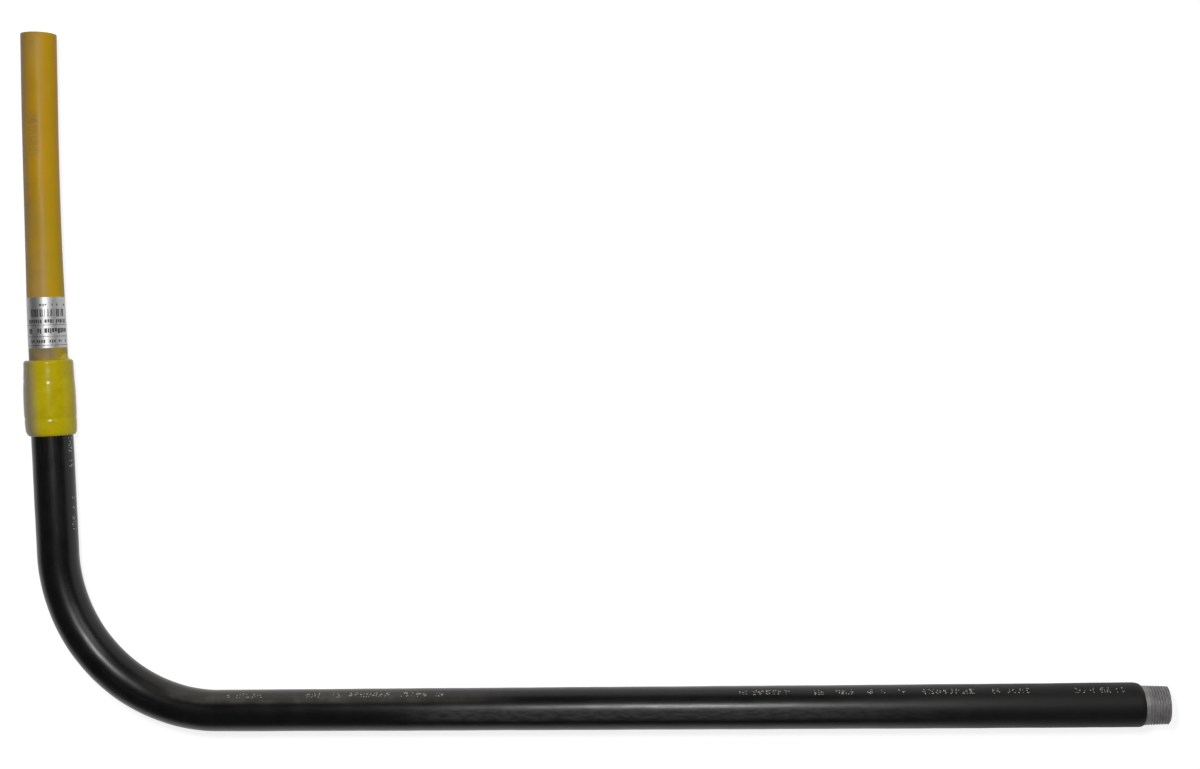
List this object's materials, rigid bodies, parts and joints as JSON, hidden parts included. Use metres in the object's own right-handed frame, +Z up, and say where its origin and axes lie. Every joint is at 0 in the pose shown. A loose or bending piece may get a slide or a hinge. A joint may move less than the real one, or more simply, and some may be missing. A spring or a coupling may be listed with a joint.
{
  "type": "threaded gas elbow",
  "caption": "Long bent gas elbow: a black-coated steel pipe with a taper-threaded end, crimped under a yellow cover to a yellow plastic pipe stub.",
  "frame": {"origin": "centre of the threaded end's face", "axes": "+X runs out of the threaded end along the long leg, +Y points along the short leg towards the plastic stub, +Z is up, out of the plane of the bend"},
  "size_m": [1.0227, 0.6505, 0.0454],
  "materials": {
    "steel": "dull grey, turned at the thread",
    "plated_steel": "zinc plated",
    "black_coat": "satin extruded polyethylene",
    "ochre_plastic": "satin extruded polyethylene",
    "yellow_cover": "glossy moulded plastic",
    "rubber_seal": "smooth",
    "label_foil": "satin printed foil"
  },
  "bodies": {
    "root": {"steel_pipe": "steel", "pipe_coating": "black_coat", "spigot_nipple": "steel", "weld_bead": "steel", "sealing_ring_lower": "rubber_seal", "sealing_ring_upper": "rubber_seal", "crimp_sleeve": "plated_steel", "stub_pipe": "ochre_plastic", "joint_cover": "yellow_cover", "foil_label": "label_foil"}
  },
  "joints": []
}
